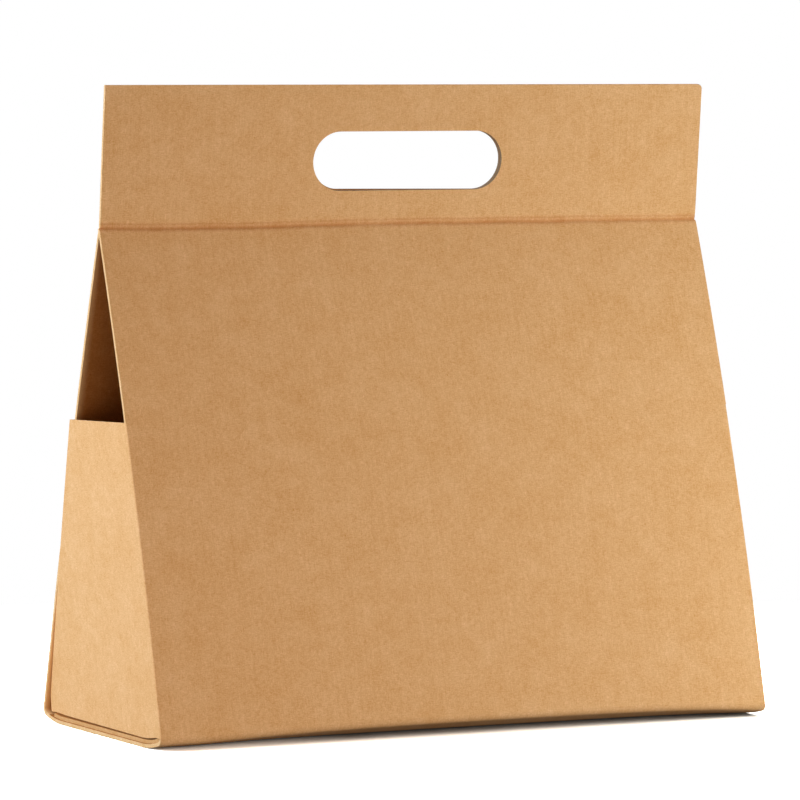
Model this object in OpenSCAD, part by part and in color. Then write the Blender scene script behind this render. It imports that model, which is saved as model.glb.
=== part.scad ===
// Gift box with a carrying handle, folded from one sheet of kraft board.
// The front and back panels lean together and rise into two handle boards that lie face to face.
// Origin: centre of the base, on the surface that the box stands on. +X is the viewer's right, +Y is the back.

/* [Board] */
// Thickness of the board
board_t = 1.8; // [1.2:0.1:2.4]
// Outer radius of the two folds along the base
fold_r = 3.5; // [3:0.1:5]
// Clearance between the two halves of a fold that moves
fold_gap = 0.15; // [0.1:0.05:0.3]

/* [Box] */
// Width of the panels
box_w = 300; // [200:1:400]
// Depth over the two base folds
box_d = 137; // [100:1:180]
// Height of the creases above the surface that the box stands on
crease_h = 225.5; // [180:0.5:280]
// Half of the angle that the front panel curves through between fold and crease
front_bow_deg = 3.6; // [1:0.1:5]
// Half of the angle that the back panel curves through between fold and crease
back_bow_deg = 2; // [1:0.1:5]
// Radius with which the base curls up towards its folds
base_curl_r = 80; // [50:1:110]
// Angle that the base has curled through where a fold begins
base_curl_deg = 14; // [6:0.5:18]
// How far the second layer of board on the base lies inside the base's ends
layer_inset = 0.8; // [0.4:0.1:3]

/* [Handle] */
// Length of a handle board from its crease to its top edge
handle_h = 63.5; // [50:0.5:90]
// Lean of the handle boards towards the front
handle_lean_deg = 6.3; // [0:0.1:10]
// Gap between the two handle boards
handle_gap = 0.1; // [0.05:0.05:0.4]
// How much shorter the front handle board is than the panel, at each end
front_handle_inset = 0.5; // [0.1:0.1:4]
// How much shorter the back handle board is than the panel, at each end
back_handle_inset = 1.3; // [0.1:0.1:4]
// Radius of the worn top right corner
handle_corner_r = 2.2; // [0.5:0.1:8]
// Length of the hand slot
slot_w = 94.4; // [80:0.2:120]
// Height of the hand slot
slot_h = 26.8; // [22:0.2:32]
// Height of the hand slot's middle above the crease, along the board
slot_up = 29; // [24:0.5:34]
// How much higher the slot sits in the back handle board
back_slot_rise = 0.6; // [0:0.1:1]
// Turn of the slot in the back handle board
back_slot_turn_deg = 0.5; // [0:0.1:1]

/* [Score lines] */
// Width of the score line that each handle board bends at
score_w = 1.8; // [1:0.1:3]
// Depth of the score lines
score_depth = 0.45; // [0.2:0.05:0.6]
// Distance from the crease up to the second score line
second_score_up = 2.1; // [2:0.1:4]

/* [Side walls] */
// Height of a side wall's top edge at the front panel
wall_top_front_h = 141; // [80:1:160]
// Height of a side wall's top edge at the back panel
wall_top_back_h = 139.5; // [80:0.5:160]
// Height of a side wall's lower edge at the front fold
wall_foot_front_h = 5.6; // [5.5:0.1:9]
// Height of a side wall's lower edge at the back
wall_foot_back_h = 4.3; // [4.2:0.1:8]
// How far the side wall stands out beyond the panels at its top back corner
wall_flare = 2.9; // [0:0.1:6]
// How far the side wall lies inside the panels' ends at its lower back corner
wall_tuck = 2.2; // [0:0.1:4]
// Width of the tab that is folded in behind the back panel
tab_w = 18; // [10:1:30]
// How much shorter the tab is at its free edge, at each end
tab_slant = 10; // [6:1:20]
// Clearance between a tab and the back panel
tab_gap = 0.3; // [0.2:0.05:0.6]

/* [Hidden] */
kraft = [0.8, 0.6, 0.41];
kraft_shade = [0.74, 0.54, 0.36];

// Headings are the angle between the sheet's run and the ground, as it goes out, round a fold and up.
// Side coordinates are [distance from the box's middle, height].
function out_normal(heading) = [sin(heading), -cos(heading)];
function run(heading) = [cos(heading), sin(heading)];

base_flat = box_d / 2 - fold_r - (base_curl_r - fold_r) * sin(base_curl_deg);
fold_centre = [box_d / 2 - fold_r, base_curl_r - (base_curl_r - fold_r) * cos(base_curl_deg)];
crease_out = (board_t + handle_gap / 2) / cos(handle_lean_deg);
crease_at = [crease_out, crease_h];

// Where a panel leaves its fold, for the heading that it leaves with
function panel_foot(heading) = fold_centre + fold_r * out_normal(heading);
function heading_to_crease(from) = atan2(crease_at[1] - from[1], crease_at[0] - from[0]);
// The heading at the foot settles within a few rounds, because the fold is small beside the panel
function foot_heading(bow, heading, rounds) =
    rounds == 0 ? heading : foot_heading(bow, heading_to_crease(panel_foot(heading)) - bow, rounds - 1);
front_foot = foot_heading(front_bow_deg, 100, 6);
back_foot = foot_heading(back_bow_deg, 100, 6);
function panel_r(foot, bow) = norm(crease_at - panel_foot(foot)) / (2 * sin(bow));
function panel_centre(foot, bow) = panel_foot(foot) - panel_r(foot, bow) * out_normal(foot);
// Distance of a panel from the box's middle at a height, at a depth below its outer face
function panel_out(foot, bow, height, depth) =
    let (centre = panel_centre(foot, bow), r = panel_r(foot, bow) - depth)
    centre[0] + sqrt(r * r - (height - centre[1]) ^ 2);

// The mitre is where the back fold is split between the base and the back panel
mitre = (base_curl_deg + back_foot) / 2;
half_gap_deg = fold_gap / 2 / fold_r * 180 / PI;

// The sheet's run as [point on the outer face, heading], piece by piece
curl_steps = 6;
fold_steps = 8;
panel_steps = 14;
function curl_run() = [for (i = [0:curl_steps]) let (a = base_curl_deg * i / curl_steps)
    [[base_flat, base_curl_r] + base_curl_r * out_normal(a), a]];
function fold_run(from, to) = [for (i = [0:fold_steps]) let (a = from + (to - from) * i / fold_steps)
    [fold_centre + fold_r * out_normal(a), a]];
function panel_run(foot, bow) = [for (i = [1:panel_steps]) let (a = foot + 2 * bow * i / panel_steps)
    [panel_centre(foot, bow) + panel_r(foot, bow) * out_normal(a), a]];

function to_front(side) = [for (p = side) [-p[0][0], p[0][1]]];
function to_back(side) = [for (p = side) [p[0][0], p[0][1]]];
function inner_face(side) = [for (p = side) [p[0] - board_t * out_normal(p[1]), p[1]]];
function backwards(list) = [for (i = [len(list) - 1:-1:0]) list[i]];

// A board's section stands in the Y-Z plane and is drawn out along X
module drawn_out(width) {
    rotate([90, 0, 90]) linear_extrude(height = width, center = true) children();
}

module base_and_front() {
    front = concat(curl_run(), fold_run(base_curl_deg, front_foot), panel_run(front_foot, front_bow_deg));
    back = concat(curl_run(), fold_run(base_curl_deg, mitre - half_gap_deg));
    drawn_out(box_w) polygon(concat(
        backwards(to_front(front)), to_back(back),
        backwards(to_back(inner_face(back))), to_front(inner_face(front))));
}

// The second layer of board on the base follows the base's curl, and stops before the folds.
// It is sunk a little into the base, so that the two are one solid.
layer_front_deg = base_curl_deg * 0.78;
layer_back_deg = base_curl_deg * 0.5;
layer_sink = 0.3;
function layer_run(to) = [for (i = [0:curl_steps]) let (a = to * i / curl_steps)
    [[base_flat, base_curl_r] + base_curl_r * out_normal(a), a]];
function at_depth(side, depth) = [for (p = side) [p[0] - depth * out_normal(p[1]), p[1]]];

module base_layer() {
    front = layer_run(layer_front_deg);
    back = layer_run(layer_back_deg);
    lower = board_t - layer_sink;
    upper = 2 * board_t;
    drawn_out(box_w - 2 * layer_inset) polygon(concat(
        backwards(to_front(at_depth(front, lower))), to_back(at_depth(back, lower)),
        backwards(to_back(at_depth(back, upper))), to_front(at_depth(front, upper))));
}

// One side wall with its tab, as rows of points up the wall: front end, back corner, tab's free edge
wall_rows = [0, 0.04, 0.2, 0.4, 0.6, 0.8, 1];
function between(a, b, share) = a + (b - a) * share;
function back_face_out(height) = panel_out(back_foot, back_bow_deg, height, board_t);
// The lower back corner keeps clear of the base's curl and of the fold
wall_corner_clear = 3;
wall_corner_out = fold_centre[0] - wall_corner_clear;
function wall_point(row, column, skin) =
    let (share = wall_rows[row],
         height = column == 0 ? between(wall_foot_front_h, wall_top_front_h, share)
                : column == 1 ? between(wall_foot_back_h, wall_top_back_h, share)
                : between(wall_foot_back_h + tab_slant, wall_top_back_h - tab_slant, share),
         front_y = -panel_out(front_foot, front_bow_deg, height, board_t / 2),
         back_y = row == 0 && column == 1 ? wall_corner_out : back_face_out(height) - tab_gap,
         corner_x = -box_w / 2 - between(-wall_tuck, wall_flare, share),
         inwards = skin * board_t)
    column == 0 ? [-box_w / 2 + inwards, front_y, height]
    : column == 1 ? [corner_x + inwards, back_y - inwards, height]
    : [corner_x + tab_w, back_y - inwards, height];

module side_wall() {
    columns = 3;
    rows = len(wall_rows);
    skin_points = rows * columns;
    points = [for (skin = [0, 1]) for (row = [0:rows - 1]) for (column = [0:columns - 1])
        wall_point(row, column, skin)];
    function at(row, column, skin) = skin * skin_points + row * columns + column;
    skins = [for (row = [0:rows - 2]) for (column = [0:columns - 2]) each [
        [at(row, column, 0), at(row, column + 1, 0), at(row + 1, column + 1, 0)],
        [at(row, column, 0), at(row + 1, column + 1, 0), at(row + 1, column, 0)],
        [at(row, column, 1), at(row + 1, column + 1, 1), at(row, column + 1, 1)],
        [at(row, column, 1), at(row + 1, column, 1), at(row + 1, column + 1, 1)]]];
    lower_and_top = [for (column = [0:columns - 2]) each [
        [at(0, column, 0), at(0, column, 1), at(0, column + 1, 1), at(0, column + 1, 0)],
        [at(rows - 1, column, 0), at(rows - 1, column + 1, 0),
         at(rows - 1, column + 1, 1), at(rows - 1, column, 1)]]];
    ends = [for (row = [0:rows - 2]) each [
        [at(row, 0, 0), at(row + 1, 0, 0), at(row + 1, 0, 1), at(row, 0, 1)],
        [at(row, columns - 1, 0), at(row, columns - 1, 1),
         at(row + 1, columns - 1, 1), at(row + 1, columns - 1, 0)]]];
    polyhedron(points, concat(skins, lower_and_top, ends), convexity = 4);
}

module folded_body() {
    color(kraft) {
        base_and_front();
        base_layer();
        side_wall();
        mirror([1, 0, 0]) side_wall();
    }
}

module back_panel() {
    side = concat(fold_run(mitre + half_gap_deg, back_foot), panel_run(back_foot, back_bow_deg));
    color(kraft_shade) drawn_out(box_w)
        polygon(concat(to_back(side), backwards(to_back(inner_face(side)))));
}

module hand_slot() {
    straight = slot_w - slot_h;
    square([straight, slot_h], center = true);
    for (end = [-1, 1]) translate([end * straight / 2, 0]) circle(d = slot_h, $fn = 64);
}

// A handle board's outline, with its lower edge on the crease
module handle_outline(inset, rise, turn) {
    half = box_w / 2 - inset;
    difference() {
        union() {
            translate([-half, 0]) square([2 * half - handle_corner_r, handle_h]);
            translate([-half, 0]) square([2 * half, handle_h - handle_corner_r]);
            translate([half - handle_corner_r, handle_h - handle_corner_r])
                circle(r = handle_corner_r, $fn = 32);
        }
        translate([0, slot_up + rise]) rotate(turn) hand_slot();
    }
}

module score_line(up) {
    translate([0, up, 0]) rotate([0, 90, 0])
        linear_extrude(height = box_w, center = true)
        polygon([[-score_depth, -score_w / 2], [-score_depth, score_w / 2],
                 [0, score_w / 2], [score_depth, 0], [0, -score_w / 2]]);
}

// A handle board lies with its outer face at z = 0 here and its thickness below, and is then stood up
module handle_board(inset, rise, turn) {
    difference() {
        translate([0, 0, -board_t]) linear_extrude(height = board_t) handle_outline(inset, rise, turn);
        score_line(second_score_up);
    }
}

module front_handle() {
    color(kraft) translate([0, -crease_out, crease_h]) rotate([90 + handle_lean_deg, 0, 0])
        handle_board(front_handle_inset, 0, 0);
}

module back_handle() {
    color(kraft_shade) translate([0, crease_out, crease_h]) rotate([90 + handle_lean_deg, 0, 0])
        mirror([0, 0, 1]) handle_board(back_handle_inset, back_slot_rise, back_slot_turn_deg);
}

folded_body();
back_panel();
front_handle();
back_handle();
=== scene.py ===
from math import atan2, ceil, cos, exp, pi, radians, sin, sqrt, tanh

import bmesh
import bpy
from mathutils import Matrix, Vector, noise


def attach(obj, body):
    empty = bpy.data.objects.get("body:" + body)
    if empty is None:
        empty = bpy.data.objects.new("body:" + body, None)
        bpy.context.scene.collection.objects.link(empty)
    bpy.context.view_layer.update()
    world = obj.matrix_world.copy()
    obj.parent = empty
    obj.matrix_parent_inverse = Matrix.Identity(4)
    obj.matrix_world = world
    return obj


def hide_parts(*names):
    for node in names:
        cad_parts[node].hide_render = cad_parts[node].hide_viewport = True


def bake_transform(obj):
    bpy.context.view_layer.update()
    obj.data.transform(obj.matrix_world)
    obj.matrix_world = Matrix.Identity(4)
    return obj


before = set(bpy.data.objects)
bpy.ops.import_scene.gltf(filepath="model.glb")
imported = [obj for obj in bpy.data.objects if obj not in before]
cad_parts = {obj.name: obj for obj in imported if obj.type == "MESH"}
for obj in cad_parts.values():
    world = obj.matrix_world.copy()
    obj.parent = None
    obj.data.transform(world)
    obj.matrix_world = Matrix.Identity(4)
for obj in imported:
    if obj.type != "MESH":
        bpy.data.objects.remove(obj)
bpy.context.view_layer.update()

# The camera stands well back, to the left of the box and about level with its top edge.
# A long lens keeps the upright edges nearly parallel, as on a product photo.
camera_place = (-1.05366, -2.20389, 0.28313)
camera_turn_right = 0.4452
camera_look_down = 0.0563
camera_roll = -0.0029
camera_data = bpy.data.cameras.new("camera")
camera_data.lens = 242.0
camera_data.sensor_width = 36.0
camera_data.clip_start = 0.05
camera_data.clip_end = 60.0
camera = bpy.data.objects.new("camera", camera_data)
bpy.context.scene.collection.objects.link(camera)
camera.location = camera_place
turned_right = Matrix.Rotation(-camera_turn_right, 4, "Z")
tipped_down = Matrix.Rotation(pi / 2 - camera_look_down, 4, "X")
rolled = Matrix.Rotation(camera_roll, 4, "Z")
camera.rotation_euler = (turned_right @ tipped_down @ rolled).to_euler()
bpy.context.scene.camera = camera

# The box stands on a plain white table top that runs out of sight. The camera sees it white, with
# the box's own shadow and a closer, darker one right under the box. The closer one fades out at
# the left corner, where the photographed box nearly touches the table.
table_radius = 14.0
table_below = 0.0001
table_grey = 0.4
table_seen = 3.4
contact_reach = 0.012
contact_full_at = 0.04
contact_gone_at = 0.32
contact_grey = 0.5
contact_none_left_of = -0.15
contact_full_right_of = -0.05
shadow_reach = 0.35
white_from = 0.6
bpy.context.scene.view_settings.view_transform = "Standard"
bpy.ops.object.select_all(action="DESELECT")
bpy.ops.mesh.primitive_circle_add(vertices=96, radius=table_radius, fill_type="NGON",
                                  location=(0, 0, -table_below))
table = bpy.context.object
table.name = "table_top"
table_paint = bpy.data.materials.new("white_table")
table_paint.use_nodes = True
nodes = table_paint.node_tree.nodes
links = table_paint.node_tree.links
lit = nodes["Principled BSDF"]
lit.inputs["Base Color"].default_value = (table_grey, table_grey, table_grey, 1)
lit.inputs["Roughness"].default_value = 0.9
lit.inputs["Specular IOR Level"].default_value = 0.0
seen = nodes.new("ShaderNodeBsdfDiffuse")
open_sky = nodes.new("ShaderNodeAmbientOcclusion")
open_sky.inputs["Distance"].default_value = contact_reach
contact = nodes.new("ShaderNodeMapRange")
contact.inputs["From Min"].default_value = contact_full_at
contact.inputs["From Max"].default_value = contact_gone_at
contact.inputs["To Min"].default_value = contact_grey
contact.inputs["To Max"].default_value = table_seen
plain_white = nodes.new("ShaderNodeEmission")
plain_white.inputs["Strength"].default_value = 1.0
table_place = nodes.new("ShaderNodeTexCoord")
from_middle = nodes.new("ShaderNodeVectorMath")
from_middle.operation = "LENGTH"
far_off = nodes.new("ShaderNodeMapRange")
far_off.inputs["From Min"].default_value = shadow_reach
far_off.inputs["From Max"].default_value = white_from
near_or_far = nodes.new("ShaderNodeMixShader")
rays = nodes.new("ShaderNodeLightPath")
which = nodes.new("ShaderNodeMixShader")
table_sides = nodes.new("ShaderNodeSeparateXYZ")
off_left_corner = nodes.new("ShaderNodeMapRange")
off_left_corner.inputs["From Min"].default_value = contact_none_left_of
off_left_corner.inputs["From Max"].default_value = contact_full_right_of
seen_grey = nodes.new("ShaderNodeMix")
seen_grey.inputs["A"].default_value = table_seen
links.new(open_sky.outputs["AO"], contact.inputs["Value"])
links.new(table_place.outputs["Object"], table_sides.inputs["Vector"])
links.new(table_sides.outputs["X"], off_left_corner.inputs["Value"])
links.new(off_left_corner.outputs["Result"], seen_grey.inputs["Factor"])
links.new(contact.outputs["Result"], seen_grey.inputs["B"])
links.new(seen_grey.outputs["Result"], seen.inputs["Color"])
links.new(table_place.outputs["Object"], from_middle.inputs[0])
links.new(from_middle.outputs["Value"], far_off.inputs["Value"])
links.new(far_off.outputs["Result"], near_or_far.inputs["Fac"])
links.new(seen.outputs["BSDF"], near_or_far.inputs[1])
links.new(plain_white.outputs["Emission"], near_or_far.inputs[2])
links.new(rays.outputs["Is Camera Ray"], which.inputs["Fac"])
links.new(lit.outputs["BSDF"], which.inputs[1])
links.new(near_or_far.outputs["Shader"], which.inputs[2])
links.new(which.outputs["Shader"], nodes["Material Output"].inputs["Surface"])
table.data.materials.append(table_paint)

# The room is an even white tent. Seen straight or in a gloss it is plain white, and as light it
# is weak and a little warm, so that the soft lamps shape the box.
tent_light = 0.07
tent_tint = (1.0, 0.84, 0.68, 1)
world = bpy.data.worlds.new("white_tent")
world.use_nodes = True
bpy.context.scene.world = world
nodes = world.node_tree.nodes
links = world.node_tree.links
light = nodes["Background"]
light.inputs["Color"].default_value = tent_tint
light.inputs["Strength"].default_value = tent_light
white = nodes.new("ShaderNodeBackground")
white.inputs["Color"].default_value = (1, 1, 1, 1)
white.inputs["Strength"].default_value = 1.0
rays = nodes.new("ShaderNodeLightPath")
camera_or_gloss = nodes.new("ShaderNodeMath")
camera_or_gloss.operation = "MAXIMUM"
see_through_too = nodes.new("ShaderNodeMath")
see_through_too.operation = "MAXIMUM"
which = nodes.new("ShaderNodeMixShader")
links.new(rays.outputs["Is Camera Ray"], camera_or_gloss.inputs[0])
links.new(rays.outputs["Is Glossy Ray"], camera_or_gloss.inputs[1])
links.new(camera_or_gloss.outputs["Value"], see_through_too.inputs[0])
links.new(rays.outputs["Is Transmission Ray"], see_through_too.inputs[1])
links.new(see_through_too.outputs["Value"], which.inputs["Fac"])
links.new(light.outputs["Background"], which.inputs[1])
links.new(white.outputs["Background"], which.inputs[2])
links.new(which.outputs["Shader"], nodes["World Output"].inputs["Surface"])

# Soft lamps: a strong one from the left on the side wall, two low ones from the right and a wide
# one in front on the front panel, a small one at the left corner, and others overhead and behind.
# Their tints follow the photo's own uneven light, and the camera sees none of them.
lamp_target = Vector((0, 0, 0.11))
left_tint = (0.86, 1.05, 1.17)
front_tint = (0.88, 1.07, 1.1)
over_tint = (1.06, 0.93, 0.84)
plain_tint = (1.0, 1.0, 1.0)
warm_tint = (1.14, 0.82, 0.6)


def add_lamp(name, place, size, watts, tint):
    """Adds a square soft lamp that looks at the middle of the box."""
    lamp_data = bpy.data.lights.new(name, "AREA")
    lamp_data.shape = "SQUARE"
    lamp_data.size = size
    lamp_data.energy = watts
    lamp_data.color = tint
    lamp = bpy.data.objects.new(name, lamp_data)
    bpy.context.scene.collection.objects.link(lamp)
    lamp.location = place
    lamp.rotation_euler = (lamp_target - Vector(place)).to_track_quat("-Z", "Y").to_euler()
    lamp.visible_camera = False


add_lamp("lamp_left", place=(-1.45, 0.32, 0.5), size=0.7, watts=22.3, tint=left_tint)
add_lamp("lamp_near_right", place=(0.48, -0.42, 0.1), size=0.25, watts=2.35, tint=front_tint)
add_lamp("lamp_near_left", place=(-0.34, -0.42, 0.05), size=0.2, watts=0.22, tint=warm_tint)
add_lamp("lamp_low_front", place=(0.5, -1.3, 0.12), size=0.5, watts=3.8, tint=front_tint)
add_lamp("lamp_front_fill", place=(-0.25, -2.0, 0.3), size=1.0, watts=6.8, tint=warm_tint)
add_lamp("lamp_over", place=(0.0, 0.0, 2.0), size=1.6, watts=5.7, tint=over_tint)
add_lamp("lamp_behind", place=(0.5, 1.8, 1.0), size=1.2, watts=22.0, tint=plain_tint)

# Brown kraft paper faces the board inside and out: matt, mottled by its pulp, with fine fibres,
# a grainy tooth and a few dark and pale specks.


def linear(rgb):
    """A colour written as 0 to 255 on screen, as the shader wants it."""
    colour = []
    for value in rgb:
        part = value / 255
        if part <= 0.04045:
            colour.append(part / 12.92)
        else:
            colour.append(((part + 0.055) / 1.055) ** 2.4)
    return (*colour, 1)


class Paint:
    """A material under way, with short ways to add its nodes."""

    def __init__(self, name):
        self.material = bpy.data.materials.new(name)
        self.material.use_nodes = True
        self.nodes = self.material.node_tree.nodes
        self.links = self.material.node_tree.links
        self.shader = self.nodes["Principled BSDF"]
        flat = self.nodes.new("ShaderNodeAttribute")
        flat.attribute_name = "flat_place"
        self.flat = flat.outputs["Vector"]

    def feed(self, source, socket):
        """Links a socket, or sets it where a plain number is given."""
        if isinstance(source, (int, float)):
            socket.default_value = source
        else:
            self.links.new(source, socket)

    def stretched(self, scale, turn=0.0):
        """The flat place, turned and stretched."""
        mapping = self.nodes.new("ShaderNodeMapping")
        mapping.inputs["Scale"].default_value = scale
        mapping.inputs["Rotation"].default_value = (0, 0, turn)
        self.feed(self.flat, mapping.inputs["Vector"])
        return mapping.outputs["Vector"]

    def cloud(self, vector, scale, detail=3.0, rough=0.55):
        """Soft noise from 0 to 1."""
        texture = self.nodes.new("ShaderNodeTexNoise")
        texture.inputs["Scale"].default_value = scale
        texture.inputs["Detail"].default_value = detail
        texture.inputs["Roughness"].default_value = rough
        self.feed(vector, texture.inputs["Vector"])
        return texture.outputs["Fac"]

    def math(self, operation, first, second):
        """One calculation with two numbers or sockets."""
        node = self.nodes.new("ShaderNodeMath")
        node.operation = operation
        self.feed(first, node.inputs[0])
        self.feed(second, node.inputs[1])
        return node.outputs["Value"]

    def spread(self, source, low, high, to_low, to_high):
        """Maps a range of a value to another range, and stops at its ends."""
        node = self.nodes.new("ShaderNodeMapRange")
        for name, value in (("From Min", low), ("From Max", high), ("To Min", to_low), ("To Max", to_high)):
            node.inputs[name].default_value = value
        self.feed(source, node.inputs["Value"])
        return node.outputs["Result"]

    def mixed(self, share, first, second):
        """A colour between two colours or sockets. The node has its colour sockets after others
        of the same names, so they are given by number."""
        first_colour = 6
        second_colour = 7
        mixed_colour = 2
        node = self.nodes.new("ShaderNodeMix")
        node.data_type = "RGBA"
        self.feed(share, node.inputs["Factor"])
        for source, number in ((first, first_colour), (second, second_colour)):
            if isinstance(source, tuple):
                node.inputs[number].default_value = source
            else:
                self.links.new(source, node.inputs[number])
        return node.outputs[mixed_colour]

    def relief(self, height, distance, strength):
        """Fine relief from a height."""
        node = self.nodes.new("ShaderNodeBump")
        node.inputs["Strength"].default_value = strength
        node.inputs["Distance"].default_value = distance
        self.feed(height, node.inputs["Height"])
        self.links.new(node.outputs["Normal"], self.shader.inputs["Normal"])


tone_lowest = 0.7
tone_highest = 1.3
dark_shares = (0.79, 0.62, 0.27)
pale_shares = (1.21, 1.38, 1.73)
score_shares = (1.0, 0.77, 0.6)


def kraft_paper(name, rgb, score_shade=1.0, edge_light_rgb=None):
    """The paper that faces the board. Along the score lines it is darker where a shade below 1 is
    given: partly crushed paper, partly painted shade in the grooves. Where an edge light colour is
    given, the sheet's side edges are painted paler: painted light near the open sides of the box."""
    paint = Paint(name)
    clouds = paint.cloud(paint.flat, scale=38, detail=2.0, rough=0.5)
    blotches = paint.cloud(paint.flat, scale=120, detail=3.0, rough=0.6)
    mottle = paint.cloud(paint.flat, scale=420, detail=4.0, rough=0.65)
    grain = paint.cloud(paint.flat, scale=1500, detail=3.0, rough=0.7)
    fibres = paint.cloud(paint.stretched((420, 2300, 900), turn=0.5), scale=1, detail=2.0, rough=0.5)
    cross_fibres = paint.cloud(paint.stretched((2300, 380, 900), turn=0.3), scale=1, detail=2.0, rough=0.5)
    drawn = paint.cloud(paint.stretched((900, 22, 900)), scale=1, detail=2.0, rough=0.5)
    dark_specks = paint.cloud(paint.stretched((760, 520, 700), turn=0.9), scale=1, detail=1.0, rough=0.4)
    pale_specks = paint.cloud(paint.stretched((500, 690, 810), turn=0.2), scale=1, detail=1.0, rough=0.4)
    tone = paint.math("MULTIPLY", paint.spread(blotches, 0.3, 0.7, 0.955, 1.045),
                      paint.spread(mottle, 0.3, 0.7, 0.95, 1.05))
    for source, low, high, share in ((grain, 0.25, 0.75, 0.16), (fibres, 0.3, 0.7, 0.07),
                                     (cross_fibres, 0.3, 0.7, 0.06), (clouds, 0.3, 0.7, 0.03),
                                     (drawn, 0.3, 0.7, 0.03)):
        tone = paint.math("MULTIPLY", tone, paint.spread(source, low, high, 1 - share, 1 + share))
    tone = paint.math("MULTIPLY", tone, paint.spread(dark_specks, 0.76, 0.84, 1.0, 0.72))
    tone = paint.math("MULTIPLY", tone, paint.spread(pale_specks, 0.78, 0.86, 1.0, 1.22))
    full = linear(rgb)
    dark = (*(part * share for part, share in zip(full, dark_shares)), 1)
    pale = (*(min(1, part * share) for part, share in zip(full, pale_shares)), 1)
    colour = paint.mixed(paint.spread(tone, tone_lowest, tone_highest, 0, 1), dark, pale)
    if score_shade < 1:
        colour = shade_scores(paint, colour, score_shade)
    if edge_light_rgb:
        colour = paint_light_on_side_edges(paint, colour, linear(edge_light_rgb))
    paint.links.new(colour, paint.shader.inputs["Base Color"])
    paint.shader.inputs["Roughness"].default_value = 0.86
    paint.shader.inputs["Specular IOR Level"].default_value = 0.25
    tooth = paint.math("ADD", grain, paint.math("MULTIPLY", fibres, 0.6))
    paint.relief(tooth, distance=0.00012, strength=0.3)
    return paint.material


def shade_scores(paint, colour, score_shade):
    """Darkens the outer paper along the score lines, which a mesh attribute marks: partly crushed paper,
    partly painted shade in the grooves.
    """
    mark = paint.nodes.new("ShaderNodeAttribute")
    mark.attribute_name = "score_mark"
    patchy = paint.cloud(paint.stretched((160, 40, 40)), scale=1, detail=3.0, rough=0.6)
    # The darkening along the scores: partly crushed paper, partly painted shade in the grooves.
    worn = paint.math("MULTIPLY", mark.outputs["Fac"], paint.spread(patchy, 0.3, 0.7, 0.75, 1.15))
    score_tint = (*(score_shade * share for share in score_shares), 1)
    crushed = paint.mixed(1.0, colour, score_tint)
    crushed.node.blend_type = "MULTIPLY"
    return paint.mixed(worn, colour, crushed)


def paint_light_on_side_edges(paint, colour, lit_edge_colour):
    """Paints the paper paler along the two side edges of the sheet: painted light near the open sides of
    the box.
    """
    light_rise_starts = 0.1455
    light_rise_full = 0.1497
    light_rise_fade = 1.6
    apart = paint.nodes.new("ShaderNodeSeparateXYZ")
    paint.feed(paint.flat, apart.inputs["Vector"])
    from_middle = paint.math("ABSOLUTE", apart.outputs["X"], 0.0)
    share = paint.spread(from_middle, light_rise_starts, light_rise_full, 0.0, 1.0)
    return paint.mixed(paint.math("POWER", share, light_rise_fade), colour, lit_edge_colour)


inner_brown = (188, 122, 60)
# The outer paper is darker along the score lines: partly crushed paper, partly painted shade in the
# grooves.
outer_paper = kraft_paper("outer_kraft_paper", (224, 168, 114), score_shade=0.8)
inner_paper = kraft_paper("inner_kraft_paper", inner_brown)
# This inner paper is painted paler along the sheet's side edges: painted light near the open sides of the
# box.
inner_paper_light_paint = kraft_paper("inner_paper_painted_light", inner_brown, edge_light_rgb=(255, 214, 160))
cut_board = kraft_paper("cut_board_edge", (226, 178, 127))
# The base layer's cut edge is painted darker than the base's: painted shade where it sits back under the
# side walls.
recessed_cut_shade_paint = kraft_paper("recessed_edge_painted_shade", (204, 150, 96))
# The hand slot's cut edge is painted dark brown: painted shade inside the slot.
slot_edge_shade_paint = kraft_paper("slot_edge_painted_shade", (128, 100, 74))

# The base, the front panel and the two side walls with their tabs are one piece of brown kraft
# board, die-cut flat with the rest of the sheet, scored and folded up. Here it is cut flat with
# its outer face down on the table, gets its thickness and crushed edges, and is then folded.
mm = 0.001
board_t = 1.8 * mm
box_w = 300 * mm
box_d = 137 * mm
crease_h = 225.5 * mm
fold_r = 3.5 * mm
front_bow = radians(3.6)
back_bow = radians(2.0)
curl_r = 80 * mm
curl = radians(14)
handle_lean = radians(6.3)
handle_gap = 0.1 * mm
crease_rounding = 1.0 * mm
half_w = box_w / 2
panel_edge = half_w - 2.5 * mm
lift_most = 2.8 * mm
lift_middle = 20 * mm
lift_half_w = 150 * mm
lift_starts = 38 * mm
lift_stops = 150 * mm
lift_roundness = 2.6
lift_end_sharpness = 10

wall_top_front_h = 141 * mm
wall_top_back_h = 139.5 * mm
wall_foot_front_h = 5.6 * mm
wall_foot_back_h = 4.3 * mm
wall_flare = 2.9 * mm
wall_tuck = 2.2 * mm
wall_corner_clear = 0.6 * mm
foot_gap = 0.55 * mm
foot_sag_reach = 0.15
tab_w = 18 * mm
tab_slant = 10 * mm
tab_gap = 0.3 * mm
slit = 0.05 * mm
seam_below_crease = 2.4 * mm
seam_before_fold = 4 * mm
crease_zone_below = 4 * mm
crease_zone_above = 5 * mm
# Places closer than this count as the same
hair = 1e-6


def out_normal(heading):
    """The way that the outer face looks, as (out from the middle, up), where the sheet has that heading."""
    return Vector((sin(heading), -cos(heading)))


# Side coordinates are (out from the box's middle, up). A heading is 0 along the base, 90 degrees upright.
base_flat = box_d / 2 - fold_r - (curl_r - fold_r) * sin(curl)
fold_centre = Vector((box_d / 2 - fold_r, curl_r - (curl_r - fold_r) * cos(curl)))
crease_at = Vector(((board_t + handle_gap / 2) / cos(handle_lean), crease_h))
curl_end = base_flat + curl_r * curl


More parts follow.
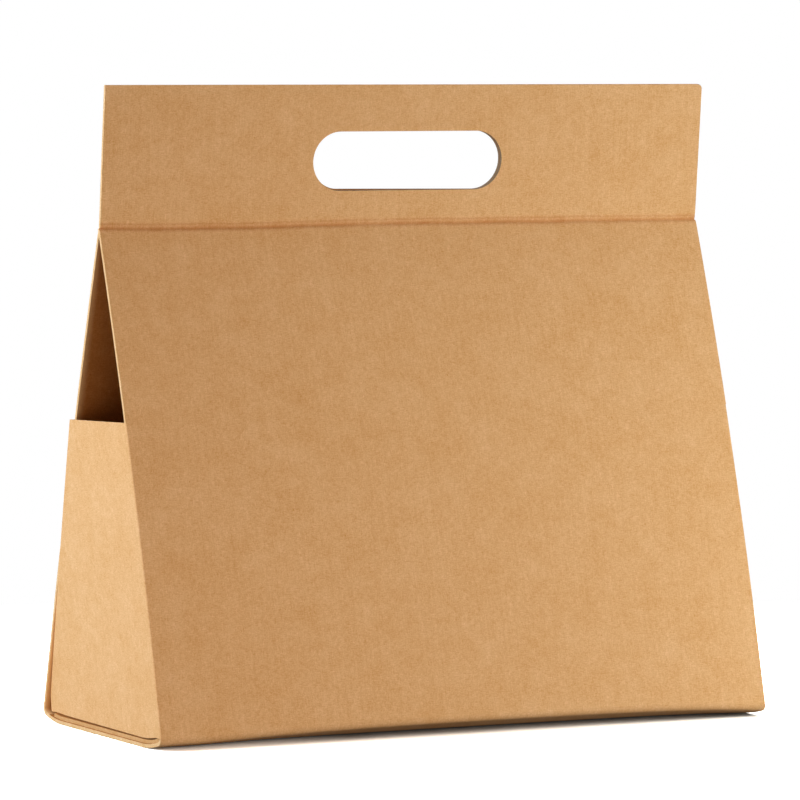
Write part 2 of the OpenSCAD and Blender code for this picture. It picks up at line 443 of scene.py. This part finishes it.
class Side:
    """The sheet's run from the middle of the base out to the front or the back and up to its top edge."""

    def __init__(self, bow, handle_heading):
        # The panel's heading at its foot depends on where the fold ends, and the fold on it
        foot = radians(100)
        for rounds in range(8):
            leaves = crease_at - fold_centre - fold_r * out_normal(foot)
            foot = atan2(leaves.y, leaves.x) - bow
        self.foot = foot
        self.bow = bow
        self.panel_r = leaves.length / (2 * sin(bow))
        self.panel_centre = fold_centre + (fold_r - self.panel_r) * out_normal(foot)
        self.fold_end = curl_end + fold_r * (foot - curl)
        self.crease = self.fold_end + self.panel_r * 2 * bow
        self.handle_heading = handle_heading

    def sharp(self, run):
        """Point and heading at a distance along the outer face, with a sharp crease."""
        if run < base_flat:
            return Vector((run, 0)), 0.0
        if run < curl_end:
            heading = (run - base_flat) / curl_r
            return Vector((base_flat, curl_r)) + curl_r * out_normal(heading), heading
        if run < self.fold_end:
            heading = curl + (run - curl_end) / fold_r
            return fold_centre + fold_r * out_normal(heading), heading
        if run < self.crease:
            heading = self.foot + (run - self.fold_end) / self.panel_r
            return self.panel_centre + self.panel_r * out_normal(heading), heading
        heading = self.handle_heading
        return crease_at + (run - self.crease) * Vector((cos(heading), sin(heading))), heading

    def at(self, run, depth):
        """Point at a distance along the sheet and a depth below its outer face."""
        share = (run - self.crease + crease_rounding) / (2 * crease_rounding)
        if 0 < share < 1:
            first, heading_a = self.sharp(self.crease - crease_rounding)
            last, heading_b = self.sharp(self.crease + crease_rounding)
            point = (1 - share) ** 2 * first + 2 * share * (1 - share) * crease_at + share ** 2 * last
            heading = heading_a + (heading_b - heading_a) * share
        else:
            point, heading = self.sharp(run)
        return point - depth * out_normal(heading)

    def run_at_height(self, height):
        """Distance along the outer face at which it reaches that height."""
        low, high = curl_end, self.crease
        for rounds in range(40):
            middle = (low + high) / 2
            if self.sharp(middle)[0].y < height:
                low = middle
            else:
                high = middle
        return low


front = Side(front_bow, pi / 2 - handle_lean)
back = Side(back_bow, pi / 2 + handle_lean)


def front_lift(across, run):
    """How much higher the arched front fold and what is near it stand than at the two ends."""
    along = 1 - (abs(across - lift_middle) / lift_half_w) ** lift_roundness
    if along < 0 or abs(across) > panel_edge:
        return 0
    ends = 1 - (across / panel_edge) ** lift_end_sharpness
    if run < curl_end:
        rise = max(0, run - lift_starts) / (curl_end - lift_starts)
    else:
        rise = max(0, lift_stops - max(run, front.fold_end)) / (lift_stops - front.fold_end)
    return lift_most * along * ends * rise ** 2 * (3 - 2 * rise)


def folded(across, run, depth):
    """Where a point of the flat sheet comes to lie. The run is negative towards the front."""
    if run < 0:
        point = front.at(-run, depth)
        return Vector((across, -point.x, point.y + front_lift(across, -run)))
    point = back.at(run, depth)
    return Vector((across, point.x, point.y))


def even_steps(start, end, longest):
    """Evenly spaced values from start to end, no further apart than the longest step."""
    count = max(1, ceil(abs(end - start) / longest - hair))
    return [start + (end - start) * i / count for i in range(count + 1)]


def sheet_rows(start, end):
    """Rows at which the flat sheet is cut between two runs, closer together in the folds and creases."""
    rows = []
    for side, sign in ((front, -1), (back, 1)):
        zone_start = side.crease - crease_zone_below
        zone_end = side.crease + crease_zone_above
        stretches = [(0, base_flat, 12 * mm),
                     (base_flat, curl_end, 2.5 * mm),
                     (curl_end, side.fold_end, 0.45 * mm),
                     (side.fold_end, zone_start, 7 * mm),
                     (zone_start, zone_end, 0.3 * mm)]
        for low, high, longest in stretches:
            rows += [sign * value for value in even_steps(low, high, longest)]
    return sorted({round(row, 7) for row in rows if start < row < end})


def start_sheet(name, low, high, left, right):
    """Lays a flat rectangle of the sheet on the table, in edit mode, between two runs."""
    bpy.ops.object.select_all(action="DESELECT")
    bpy.ops.mesh.primitive_plane_add(size=1, location=(0, 0, 0))
    sheet = bpy.context.object
    sheet.name = name
    bpy.ops.object.mode_set(mode="EDIT")
    bpy.ops.mesh.select_all(action="SELECT")
    bpy.ops.transform.resize(value=(right - left, high - low, 1))
    bpy.ops.transform.translate(value=((left + right) / 2, (low + high) / 2, 0))
    return sheet


cut_reach = 0.000001


def cut_across(places):
    """Cuts the sheet in edit mode along lines that run from front to back."""
    for place in places:
        bpy.ops.mesh.select_all(action="SELECT")
        bpy.ops.mesh.bisect(plane_co=(place, 0, 0), plane_no=(1, 0, 0), threshold=cut_reach)


def cut_along(places):
    """Cuts the sheet in edit mode along lines that run from side to side."""
    for place in places:
        bpy.ops.mesh.select_all(action="SELECT")
        bpy.ops.mesh.bisect(plane_co=(0, place, 0), plane_no=(0, 1, 0), threshold=cut_reach)


def select_edges(sheet, wanted):
    """Selects only the edges whose two ends both pass the rule."""
    shape = bmesh.from_edit_mesh(sheet.data)
    bpy.ops.mesh.select_all(action="DESELECT")
    for edge in shape.edges:
        if all(wanted(vert.co) for vert in edge.verts):
            edge.select_set(True)
    bmesh.update_edit_mesh(sheet.data)


def draw_out(distance):
    """Extrudes the selected edges sideways by a distance."""
    bpy.ops.mesh.extrude_region_move(TRANSFORM_OT_translate={"value": (distance, 0, 0)})


front_seam = -(front.crease - seam_below_crease)
back_seam = curl_end - seam_before_fold
wall_top = -front.run_at_height(wall_top_front_h)
wall_foot = -front.run_at_height(wall_foot_front_h)
corner_rounding = 1.0 * mm
inner_rounding = 0.3 * mm
turn_steps = 4
turn_length = pi / 2 * corner_rounding
wall_start = half_w - corner_rounding + turn_length


def wall_share(run):
    """How far up the side wall a row is, from 0 at its foot to 1 at its top edge."""
    height = front.sharp(-run)[0].y
    return (height - wall_foot_front_h) / (wall_top_front_h - wall_foot_front_h)


def back_inner_face(height):
    """Distance of the back panel's inner face from the box's middle."""
    radius = back.panel_r - board_t
    return back.panel_centre.x + sqrt(radius ** 2 - (height - back.panel_centre.y) ** 2)


def wall_corner(run):
    """Where the side wall's outer face meets its tab's, on the left of the box."""
    share = wall_share(run)
    height = wall_foot_back_h + (wall_top_back_h - wall_foot_back_h) * share
    low_share = 0.04
    if share < low_share:
        low_height = wall_foot_back_h + (wall_top_back_h - wall_foot_back_h) * low_share
        foot_out = fold_centre.x - wall_corner_clear
        out = foot_out + (back_inner_face(low_height) - tab_gap - foot_out) * share / low_share
    else:
        out = back_inner_face(height) - tab_gap
    return Vector((-half_w + wall_tuck - (wall_tuck + wall_flare) * share, out, height))


def wall_width(run):
    """Width of the side wall in a row, from its front corner to its back corner."""
    return (wall_corner(run) - folded(-half_w, run, 0)).length


def rounded(before, corner, after, radius, share):
    """A point on a corner that is rounded off, at a share of the way round it."""
    first = corner + (before - corner).normalized() * radius
    last = corner + (after - corner).normalized() * radius
    return (1 - share) ** 2 * first + 2 * share * (1 - share) * corner + share ** 2 * last


def wing_line(run, inner):
    """Where a row of the left side wall starts on the panel, turns twice, and ends on the tab."""
    skin = board_t if inner else 0
    panel = folded(-panel_edge, run, skin)
    front_corner = folded(-half_w + skin, run, skin)
    back_corner = wall_corner(run) + Vector((skin, -skin, 0))
    tab_end = wall_corner(run) + Vector((tab_w, -skin, 0))
    return panel, front_corner, back_corner, tab_end


def wing_knots(run, inner):
    """Places on the flat wing and where they come to lie, in order across the wing."""
    panel, front_corner, back_corner, tab_end = wing_line(run, inner)
    radius = inner_rounding if inner else corner_rounding
    width = wall_width(run)
    knots = [(panel_edge, panel)]
    for i in range(turn_steps + 1):
        share = i / turn_steps
        knots.append((half_w - corner_rounding + turn_length * share,
                      rounded(panel, front_corner, back_corner, radius, share)))
    for i in range(turn_steps + 1):
        share = i / turn_steps
        knots.append((wall_start + width - 2 * corner_rounding + turn_length * share,
                      rounded(front_corner, back_corner, tab_end, radius, share)))
    knots.append((knots[-1][0] + tab_w - corner_rounding, tab_end))
    return knots


def between_knots(knots, place):
    """The point at a place on the flat wing."""
    for (low, first), (high, last) in zip(knots, knots[1:]):
        if place <= high or (high, last) == knots[-1]:
            return first.lerp(last, (place - low) / (high - low))


def foot_sag(part, out):
    """How far the side wall's foot hangs below a straight line, to follow the curve of the base."""
    past_flat = max(0, abs(out) - base_flat)
    base_rise = curl_r - sqrt(curl_r ** 2 - past_flat ** 2)
    straight = wall_foot_front_h + (wall_foot_back_h - wall_foot_front_h) * part
    return max(0, straight - base_rise - 2 * board_t - foot_gap)


def folded_wing(across, run, depth):
    """Where a point of a side wall or a tab comes to lie."""
    outer = between_knots(wing_knots(run, False), abs(across))
    inner = between_knots(wing_knots(run, True), abs(across))
    point = outer.lerp(inner, depth / board_t)
    part = (abs(across) - wall_start) / wall_width(run)
    if 0 < part < 1:
        near_foot = max(0, 1 - wall_share(run) / foot_sag_reach)
        point.z -= foot_sag(part, point.y) * near_foot ** 2
    if across > 0:
        point.x = -point.x
    return point


def in_wing(across, run):
    """Whether a point of the flat sheet belongs to a side wall or its tab."""
    return abs(across) > panel_edge + hair and wall_top - hair < run < wall_foot + hair


def give_thickness(sheet):
    """Turns the flat sheet into board, with its cut edges slightly crushed."""
    bpy.ops.object.mode_set(mode="EDIT")
    shape = bmesh.from_edit_mesh(sheet.data)
    for face in shape.faces:
        face.select_set(face.normal.z < 0)
    bmesh.update_edit_mesh(sheet.data)
    bpy.ops.mesh.flip_normals()
    bpy.ops.object.mode_set(mode="OBJECT")
    thick = sheet.modifiers.new("board", "SOLIDIFY")
    thick.thickness = board_t
    thick.offset = 1
    bpy.ops.object.modifier_apply(modifier=thick.name)


def in_slit(place):
    """Whether a point lies in one of the knife cuts between the panel's edge and a side wall."""
    near_cut = min(abs(place.y - wall_top + slit / 2), abs(place.y - wall_foot - slit / 2))
    return near_cut < slit and panel_edge - hair < abs(place.x) < half_w + hair


seam_reach = 0.01 * mm


def crush_edges(sheet, seams):
    """Rounds the cut edges of the board a little, outside the knife cuts and the seams where the
    sheet only passes from one piece to the next."""
    shape = bmesh.new()
    shape.from_mesh(sheet.data)
    weight = shape.edges.layers.float.new("bevel_weight_edge")
    for edge in shape.edges:
        is_cut_edge = edge.calc_face_angle(0) > radians(60)
        in_cut = all(in_slit(vert.co) for vert in edge.verts)
        in_seam = any(all(abs(vert.co.y - seam) < seam_reach for vert in edge.verts) for seam in seams)
        if is_cut_edge and not in_cut and not in_seam:
            edge[weight] = 1.0
    shape.to_mesh(sheet.data)
    shape.free()
    crushed = sheet.modifiers.new("crushed", "BEVEL")
    crushed.width = 0.22 * mm
    crushed.segments = 2
    crushed.limit_method = "WEIGHT"
    crushed.use_clamp_overlap = False
    bpy.ops.object.modifier_apply(modifier=crushed.name)


on_outer = 0
on_inner = 1
on_cut = 2
on_slot_cut = 3


def note_flat_place(sheet):
    """Keeps each point's place on the flat sheet, which the board's pattern follows, and sorts its
    faces into outer paper, inner paper and cut edge."""
    place = sheet.data.attributes.new("flat_place", "FLOAT_VECTOR", "POINT")
    for vertex in sheet.data.vertices:
        place.data[vertex.index].vector = vertex.co
    for finish in (outer_paper, inner_paper, cut_board):
        sheet.data.materials.append(finish)
    for face in sheet.data.polygons:
        if face.normal.z < -0.9:
            face.material_index = on_outer
        elif face.normal.z > 0.9:
            face.material_index = on_inner
        else:
            face.material_index = on_cut


def fold_up(sheet, where):
    """Moves each point of the flat board to where it lies on the folded box."""
    for vertex in sheet.data.vertices:
        vertex.co = where(*vertex.co)
    sheet.data.update()
    bpy.ops.object.select_all(action="DESELECT")
    sheet.select_set(True)
    bpy.context.view_layer.objects.active = sheet
    bpy.ops.object.shade_smooth_by_angle(angle=radians(32))
    evened = sheet.modifiers.new("evened", "WEIGHTED_NORMAL")
    evened.keep_sharp = True
    bpy.ops.object.modifier_apply(modifier=evened.name)


column_step = 8 * mm
wall_columns = 26
tab_columns = 3
full_width = wall_width(wall_foot)
body = start_sheet("base_and_front_board", front_seam, back_seam, -panel_edge, panel_edge)
cut_across(even_steps(-panel_edge, panel_edge, column_step)[1:-1])
cut_along(sheet_rows(front_seam, back_seam) + [wall_top, wall_top - slit, wall_foot, wall_foot + slit])

for sign in (-1, 1):
    select_edges(body, lambda co: abs(co.x - sign * panel_edge) < hair and not
                 wall_top - slit + hair < co.y < wall_foot + slit - hair)
    draw_out(sign * (half_w - panel_edge))
    select_edges(body, lambda co: abs(co.x - sign * panel_edge) < hair and
                 wall_top - hair < co.y < wall_foot + hair)
    draw_out(sign * (half_w - corner_rounding - panel_edge))
    for i in range(turn_steps):
        draw_out(sign * turn_length / turn_steps)
    for i in range(wall_columns):
        draw_out(sign * (full_width - 2 * corner_rounding) / wall_columns)
    for i in range(turn_steps):
        draw_out(sign * turn_length / turn_steps)
    for i in range(tab_columns):
        draw_out(sign * (tab_w - corner_rounding) / tab_columns)

# The walls narrow towards their tops, and the tabs towards their free edges
bpy.ops.object.mode_set(mode="OBJECT")
tab_middle = (wall_top + wall_foot) / 2
tab_start = wall_start + full_width - 2 * corner_rounding + turn_length
for vertex in body.data.vertices:
    across, run = vertex.co.x, vertex.co.y
    if not in_wing(across, run) or abs(across) < wall_start:
        continue
    if abs(across) > tab_start - hair:
        share = (abs(across) - tab_start) / (tab_w - corner_rounding)
        height = wall_foot - wall_top
        vertex.co.y = tab_middle + (run - tab_middle) * (1 - share * 2 * tab_slant / height)
    drawn_in = full_width - wall_width(vertex.co.y)
    wall_part = min(1, (abs(across) - wall_start) / (full_width - 2 * corner_rounding))
    vertex.co.x = (abs(across) - drawn_in * wall_part) * (1 if across > 0 else -1)

give_thickness(body)
crush_edges(body, (front_seam, back_seam))
note_flat_place(body)


def folded_body_point(across, run, depth):
    """Where a point of the base, the front panel or a side wall comes to lie."""
    if in_wing(across, run):
        return folded_wing(across, run, depth)
    return folded(across, run, depth)


fold_up(body, folded_body_point)
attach(body, "tray")
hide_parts("folded_body")

# A second layer of the same board is glued on the base. Its edges lie just inside the base's, so
# that they show as a band between the base's cut edge and the foot of each side wall.
layer_inset = 0.8 * mm
layer_edge = half_w - layer_inset
layer_front_share = 0.95
layer_back_share = 0.57
layer_front = base_flat + curl_r * curl * layer_front_share
layer_back = base_flat + curl_r * curl * layer_back_share
glue_t = 0.02 * mm
layer_lift = board_t + glue_t
layer_pressed = 0.98
base_layer = start_sheet("base_layer_board", -layer_front, layer_back, -layer_edge, layer_edge)
cut_across(even_steps(-layer_edge, layer_edge, column_step)[1:-1])
cut_along(sheet_rows(-layer_front, layer_back))
give_thickness(base_layer)
crush_edges(base_layer, ())
note_flat_place(base_layer)
# Its cut edge takes the darker colour: painted shade where it sits back under the walls' feet.
base_layer.data.materials[on_cut] = recessed_cut_shade_paint
fold_up(base_layer, lambda across, run, depth: folded(across, run, layer_lift + depth * layer_pressed))
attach(base_layer, "tray")

# The back panel is the same sheet, folded up from the back of the base. It swings back about its
# base fold when the box is opened. It narrows a touch towards its crease, and its inner paper is
# painted paler along the side edges: painted light near the open sides of the box.
back_panel_inset = 1.1 * mm
back_top_seam = back.crease - seam_below_crease
back_panel = start_sheet("back_panel_board", back_seam, back_top_seam, -half_w, half_w)
cut_across(even_steps(-half_w, half_w, column_step)[1:-1])
cut_along(sheet_rows(back_seam, back_top_seam))
bpy.ops.object.mode_set(mode="OBJECT")
for vertex in back_panel.data.vertices:
    share = max(0, vertex.co.y - back.fold_end) / (back.crease - back.fold_end)
    vertex.co.x *= 1 - back_panel_inset / half_w * share
give_thickness(back_panel)
crush_edges(back_panel, (back_seam, back_top_seam))
note_flat_place(back_panel)
# Its inner face takes the paper with painted light along the side edges.
back_panel.data.materials[on_inner] = inner_paper_light_paint
fold_up(back_panel, folded)
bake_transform(back_panel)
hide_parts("back_panel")

# The front handle board stands up from the front panel's top crease, a double score line that is
# pressed into the outer face. The hand slot is die-cut through it, and one top corner is worn.
handle_h = 63.5 * mm
slot_w = 94.4 * mm
slot_h = 26.8 * mm
slot_up = 29 * mm
worn_corner_r = 2.2 * mm
front_inset = 0.5 * mm
crease_column_step = 3 * mm


def start_handle(name, side, sign, inset, strip_inset):
    """Lays a handle board flat, with the strip of panel that its crease bends in."""
    low = side.crease - seam_below_crease
    high = side.crease + handle_h
    start, end = sorted((sign * low, sign * high))
    handle = start_sheet(name, start, end, -half_w, half_w)
    cut_along(sheet_rows(start, end))
    for place in even_steps(-half_w, half_w, crease_column_step)[1:-1]:
        bpy.ops.mesh.select_all(action="DESELECT")
        shape = bmesh.from_edit_mesh(handle.data)
        for face in shape.faces:
            face.select_set(abs(face.calc_center_median().y) < side.crease + crease_zone_above)
        bmesh.update_edit_mesh(handle.data)
        bpy.ops.mesh.bisect(plane_co=(place, 0, 0), plane_no=(1, 0, 0), threshold=cut_reach)
    bpy.ops.object.mode_set(mode="OBJECT")
    for vertex in handle.data.vertices:
        drawn_in = inset if abs(vertex.co.y) > side.crease else strip_inset
        vertex.co.x *= (half_w - drawn_in) / half_w
    give_thickness(handle)
    return handle


def wear_corner(handle, side, sign, inset):
    """Rounds the top right corner, where the board is worn."""
    bpy.ops.object.mode_set(mode="EDIT")
    corner_reach = 0.01 * mm
    select_edges(handle, lambda co: abs(co.x - (half_w - inset)) < corner_reach and
                 abs(co.y - sign * (side.crease + handle_h)) < corner_reach)
    bpy.ops.mesh.bevel(offset=worn_corner_r, segments=8)
    bpy.ops.object.mode_set(mode="OBJECT")


def cut_slot(handle, side, sign, rise, turn):
    """Die-cuts the hand slot through a flat handle board."""
    bpy.ops.object.select_all(action="DESELECT")
    slot_sides = 96
    bpy.ops.mesh.primitive_cylinder_add(vertices=slot_sides, radius=slot_h / 2, depth=4 * board_t,
                                        location=(0, 0, 0), rotation=(0, 0, pi / slot_sides))
    bpy.ops.object.transform_apply(location=False, rotation=True, scale=False)
    die = bpy.context.object
    bpy.ops.object.mode_set(mode="EDIT")
    for end in (-1, 1):
        shape = bmesh.from_edit_mesh(die.data)
        bpy.ops.mesh.select_all(action="DESELECT")
        for vert in shape.verts:
            vert.select_set(vert.co.x * end > 0)
        bmesh.update_edit_mesh(die.data)
        bpy.ops.transform.translate(value=(end * (slot_w - slot_h) / 2, 0, 0))
    bpy.ops.object.mode_set(mode="OBJECT")
    die.data.transform(Matrix.Rotation(-sign * turn, 4, "Z"))
    die.location = (0, sign * (side.crease + slot_up + rise), 0)
    bpy.context.view_layer.update()
    bpy.ops.object.select_all(action="DESELECT")
    handle.select_set(True)
    bpy.context.view_layer.objects.active = handle
    stamped = handle.modifiers.new("slot", "BOOLEAN")
    stamped.operation = "DIFFERENCE"
    stamped.object = die
    stamped.solver = "EXACT"
    bpy.ops.object.modifier_apply(modifier=stamped.name)
    bpy.data.objects.remove(die)


def paint_slot_shade(handle, side, sign):
    """Gives the slot's cut edge a dark brown colour: painted shade inside the slot."""
    handle.data.materials.append(slot_edge_shade_paint)
    middle = Vector((0, sign * (side.crease + slot_up), 0))
    around = 2 * mm
    for face in handle.data.polygons:
        from_slot = face.center - middle
        near_across = abs(from_slot.x) < slot_w / 2 + around
        near_along = abs(from_slot.y) < slot_h / 2 + around
        if near_across and near_along and face.material_index == on_cut:
            face.material_index = on_slot_cut


main_score_depth = 0.5 * mm
main_score_width = 0.9 * mm
second_score_up = 1.85 * mm
second_score_depth = 0.2 * mm
second_score_width = 0.55 * mm
second_mark_share = 0.55
score_wander = 0.5 * mm
score_tremble = 0.25 * mm
score_swell = 0.35
tremble_row = Vector((0, 3.7, 0))
swell_row = Vector((0, 9.1, 0))


def score_stray(across):
    """How far up the score lines stray from the crease: a fine tremble, a slow drift from left to
    right, and a rise at the left end."""
    tremble = score_tremble * noise.noise(Vector((across * 60, 0, 0)) + tremble_row)
    drift = tanh((across + 50 * mm) / (30 * mm))
    left_rise = exp(-((across + half_w) / (25 * mm)) ** 2)
    return tremble + score_wander * (drift + left_rise)


def groove(distance, width):
    """How deep a rounded groove is at a distance from its middle, from 0 to 1."""
    return exp(-(distance / width) ** 2)


def press_scores(handle, side):
    """Presses the two score lines into the outer face, and marks where the paper is darkened along them:
    partly crushed, partly painted shade in the grooves.
    """
    mark = handle.data.attributes.new("score_mark", "FLOAT", "POINT")
    for vertex in handle.data.vertices:
        along = abs(vertex.co.y) - side.crease
        stray = score_stray(vertex.co.x)
        main = main_score_depth * groove(along - stray, main_score_width)
        second = second_score_depth * groove(along - second_score_up - stray, second_score_width)
        swell = 1 + score_swell * noise.noise(Vector((vertex.co.x * 35, 0, 0)) + swell_row)
        vertex.co.z += (main + second) * swell * (1 - vertex.co.z / board_t)
        crushed = main / main_score_depth + second_mark_share * second / second_score_depth
        mark.data[vertex.index].value = min(1, crushed * swell)


front_handle = start_handle("front_handle_board", front, -1, front_inset, 0)
wear_corner(front_handle, front, -1, front_inset)
cut_slot(front_handle, front, -1, 0, 0)
crush_edges(front_handle, (front_seam,))
note_flat_place(front_handle)
paint_slot_shade(front_handle, front, -1)
press_scores(front_handle, front)
fold_up(front_handle, folded)
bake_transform(front_handle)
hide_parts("front_handle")

# The back handle board is its twin on the back panel's crease. It is cut a touch shorter at both
# ends, and its slot sits a little higher and turned, so that its edge shows through the front one.
back_inset = 1.3 * mm
back_slot_rise = 0.6 * mm
back_slot_turn = radians(0.5)
back_handle = start_handle("back_handle_board", back, 1, back_inset, back_panel_inset)
wear_corner(back_handle, back, 1, back_inset)
cut_slot(back_handle, back, 1, back_slot_rise, back_slot_turn)
crush_edges(back_handle, (back_top_seam,))
note_flat_place(back_handle)
paint_slot_shade(back_handle, back, 1)
press_scores(back_handle, back)
fold_up(back_handle, folded)
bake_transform(back_handle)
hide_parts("back_handle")
